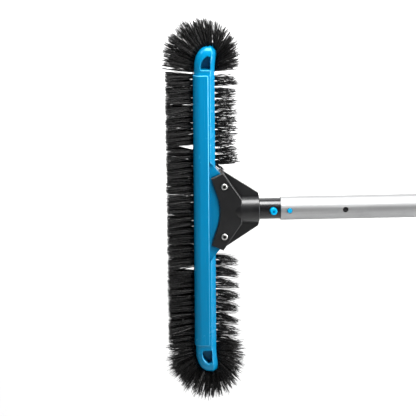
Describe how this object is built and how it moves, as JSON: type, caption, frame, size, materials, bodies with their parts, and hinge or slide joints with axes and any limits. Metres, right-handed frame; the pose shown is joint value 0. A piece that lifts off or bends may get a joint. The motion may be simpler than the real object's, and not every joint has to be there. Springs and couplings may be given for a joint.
{
  "type": "pool wall brush",
  "caption": "Curved-end pool wall brush with stiff rows of bristles, a bolted bracket, and a sprung pin clip that locks it into a drilled aluminium pole.",
  "frame": {"origin": "on the pole's axis, at the centre of the two lock holes next to the pole's open end", "axes": "+X along the pole, from the brush to the pole's open end; +Y along the lock holes, from the near side to the far side; +Z along the brush bar, towards the end that is uppermost in the picture"},
  "size_m": [0.667, 0.0437, 0.528],
  "materials": {
    "blue_plastic": "satin-gloss moulded polypropylene",
    "blue_cover": "satin-gloss moulded polypropylene",
    "bristle": "black nylon filament",
    "anchor_wire": "flat wire",
    "bracket_plastic": "satin glass-filled plastic",
    "bolt_steel": "stainless steel",
    "stub_plastic": "glossy black",
    "pole_aluminium": "satin drawn aluminium",
    "clip_plastic": "semi-gloss acetal",
    "button_plastic": "semi-gloss acetal"
  },
  "bodies": {
    "brush": {"bar_body": "blue_plastic", "near_cover": "blue_cover", "far_cover": "blue_cover", "front_bristles_near": "bristle", "front_bristles_middle": "bristle", "front_bristles_far": "bristle", "upper_back_bristles_near": "bristle", "upper_back_bristles_far": "bristle", "lower_back_bristles_near": "bristle", "lower_back_bristles_far": "bristle", "top_fan_near": "bristle", "top_fan_middle": "bristle", "top_fan_far": "bristle", "bottom_fan_near": "bristle", "bottom_fan_middle": "bristle", "bottom_fan_far": "bristle", "front_anchors": "anchor_wire", "back_anchors": "anchor_wire", "end_anchors": "anchor_wire", "bracket": "bracket_plastic", "clamp_bolts": "bolt_steel", "bolt_washers": "bolt_steel", "lock_nuts": "bolt_steel", "stub_tube": "stub_plastic", "pole_tube": "pole_aluminium", "clip_bend": "clip_plastic"},
    "clip_arm_near": {"clip_leaf_near": "clip_plastic", "lock_pin_near": "button_plastic", "release_button_near": "button_plastic"},
    "clip_arm_far": {"clip_leaf_far": "clip_plastic", "lock_pin_far": "button_plastic", "release_button_far": "button_plastic"}
  },
  "joints": [
    {"name": "near_clip_arm_press", "type": "hinge", "parent": "brush", "child": "clip_arm_near", "pos_m": [-0.422, -0.001, 0], "axis": [0, 0, -1], "range_deg": [0, 2.2], "stiffness_Nm_per_rad": 14, "springref_deg": -2.29},
    {"name": "far_clip_arm_press", "type": "hinge", "parent": "brush", "child": "clip_arm_far", "pos_m": [-0.422, 0.001, 0], "axis": [0, 0, 1], "range_deg": [0, 2.2], "stiffness_Nm_per_rad": 14, "springref_deg": -2.29}
  ]
}
